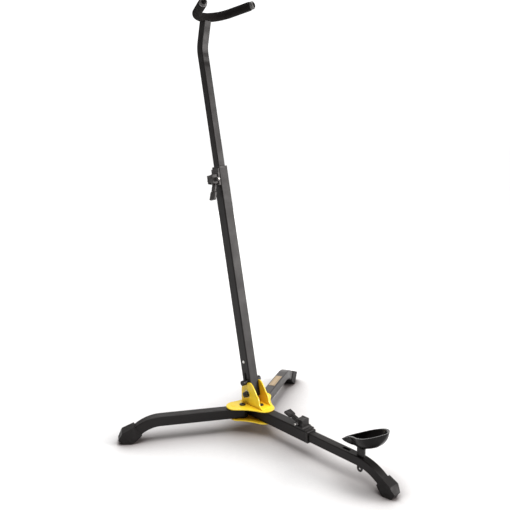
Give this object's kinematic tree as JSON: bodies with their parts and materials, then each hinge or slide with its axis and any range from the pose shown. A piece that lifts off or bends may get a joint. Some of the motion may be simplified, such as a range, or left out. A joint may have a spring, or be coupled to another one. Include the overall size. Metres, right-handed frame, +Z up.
{
  "type": "folding woodwind instrument stand",
  "caption": "Folding floor stand for a long woodwind: square-tube tripod under a sheet-steel hub, leaning telescopic mast with a padded yoke, and a scoop for the bell end on the front leg.",
  "frame": {"origin": "on the floor, under the middle of the stand's bounding box as it stands open", "axes": "+Z up, +X towards the front leg that carries the cup, +Y to the left of someone looking along +X"},
  "size_m": [0.5635, 0.5422, 0.933],
  "materials": {
    "black_paint": "satin black powder coat",
    "yellow_paint": "satin yellow powder coat",
    "black_plastic": "moulded black nylon",
    "gloss_black_plastic": "glossy black moulding",
    "black_rubber": "matt moulded rubber",
    "foam": "closed-cell foam sleeve",
    "clear_grey_plastic": "soft grey translucent vinyl",
    "zinc_steel": "bright zinc plate",
    "black_steel": "black oxide steel",
    "gold_label": "blank tan label"
  },
  "bodies": {
    "base": {"base_plate_top": "yellow_paint", "base_plate_bottom": "yellow_paint", "mast_bracket": "yellow_paint", "front_leg_tube": "black_paint", "front_leg_collar": "black_plastic", "hub_bolts": "black_steel", "hub_nuts": "zinc_steel", "swivel_bolts": "black_steel", "swivel_nuts": "zinc_steel", "swivel_sleeves": "zinc_steel", "swivel_washers": "black_plastic", "leg_clamp_block": "black_plastic", "leg_clamp_shoe": "black_plastic", "leg_clamp_bolt": "black_steel", "leg_clamp_nut": "zinc_steel", "mast_pivot_bolt": "black_steel", "mast_pivot_nut": "zinc_steel", "mast_pivot_washers": "zinc_steel"},
    "leg_lever": {"leg_clamp_lever": "black_plastic"},
    "left_leg": {"left_leg_tube": "black_paint", "left_foot_cap": "black_rubber"},
    "rear_leg": {"rear_leg_tube": "black_paint", "rear_foot_cap": "black_rubber", "rear_leg_label": "gold_label"},
    "front_extension": {"front_leg_extension": "black_paint", "front_foot_cap": "black_rubber", "extension_guide_plug": "black_plastic"},
    "cup": {"instrument_cup": "gloss_black_plastic", "cup_post": "black_plastic"},
    "mast_lower": {"mast_lower_tube": "black_paint", "mast_guide_collar": "black_plastic", "mast_clamp_block": "black_plastic", "mast_clamp_shoe": "black_plastic", "mast_clamp_bolt": "black_steel", "mast_clamp_nut": "zinc_steel", "spring_anchor_rivet": "zinc_steel", "lock_spring": "zinc_steel"},
    "mast_lever": {"mast_clamp_lever": "black_plastic"},
    "lock_pin": {"lock_pin": "zinc_steel", "lock_pin_knobs": "black_plastic"},
    "mast_upper": {"mast_upper_tube": "black_paint", "mast_guide_plug": "black_plastic", "yoke_plug": "black_plastic", "yoke_rod": "zinc_steel", "yoke_foam": "foam", "yoke_end_caps": "clear_grey_plastic"}
  },
  "joints": [
    {"name": "mast_fold", "type": "hinge", "parent": "base", "child": "mast_lower", "pos_m": [-0.1115, 0, 0.0835], "axis": [0, 1, 0], "range_deg": [0, 80]},
    {"name": "mast_slide", "type": "slide", "parent": "mast_lower", "child": "mast_upper", "axis": [-0.2071, 0, 0.9783], "range_m": [-0.22, 0.06]},
    {"name": "mast_lever_turn", "type": "hinge", "parent": "mast_lower", "child": "mast_lever", "pos_m": [-0.2113, -0.023, 0.55505], "axis": [-0.9783, 0, -0.2071], "range_deg": [0, 110]},
    {"name": "lock_pin_slide", "type": "slide", "parent": "mast_lower", "child": "lock_pin", "axis": [-0.2071, 0, 0.9783], "range_m": [0, 0.018], "deforming": ["lock_spring"]},
    {"name": "left_leg_swivel", "type": "hinge", "parent": "base", "child": "left_leg", "pos_m": [-0.11621, -0.02563, 0.0442], "axis": [0, 0, 1], "range_deg": [0, 115]},
    {"name": "rear_leg_swivel", "type": "hinge", "parent": "base", "child": "rear_leg", "pos_m": [-0.11621, 0.02563, 0.0442], "axis": [0, 0, -1], "range_deg": [0, 115]},
    {"name": "front_slide", "type": "slide", "parent": "base", "child": "front_extension", "axis": [1, 0, 0], "range_m": [-0.08, 0.015]},
    {"name": "cup_lift", "type": "slide", "parent": "front_extension", "child": "cup", "axis": [0, 0, 1], "range_m": [0, 0.036]},
    {"name": "leg_lever_turn", "type": "hinge", "parent": "base", "child": "leg_lever", "pos_m": [0.043, 0, 0.0675], "axis": [0, 1, 0], "range_deg": [0, 110]}
  ],
  "couplings": [
    {"joint": "lock_pin_slide", "follows": "mast_fold", "m_per_rad": 0.012605}
  ]
}
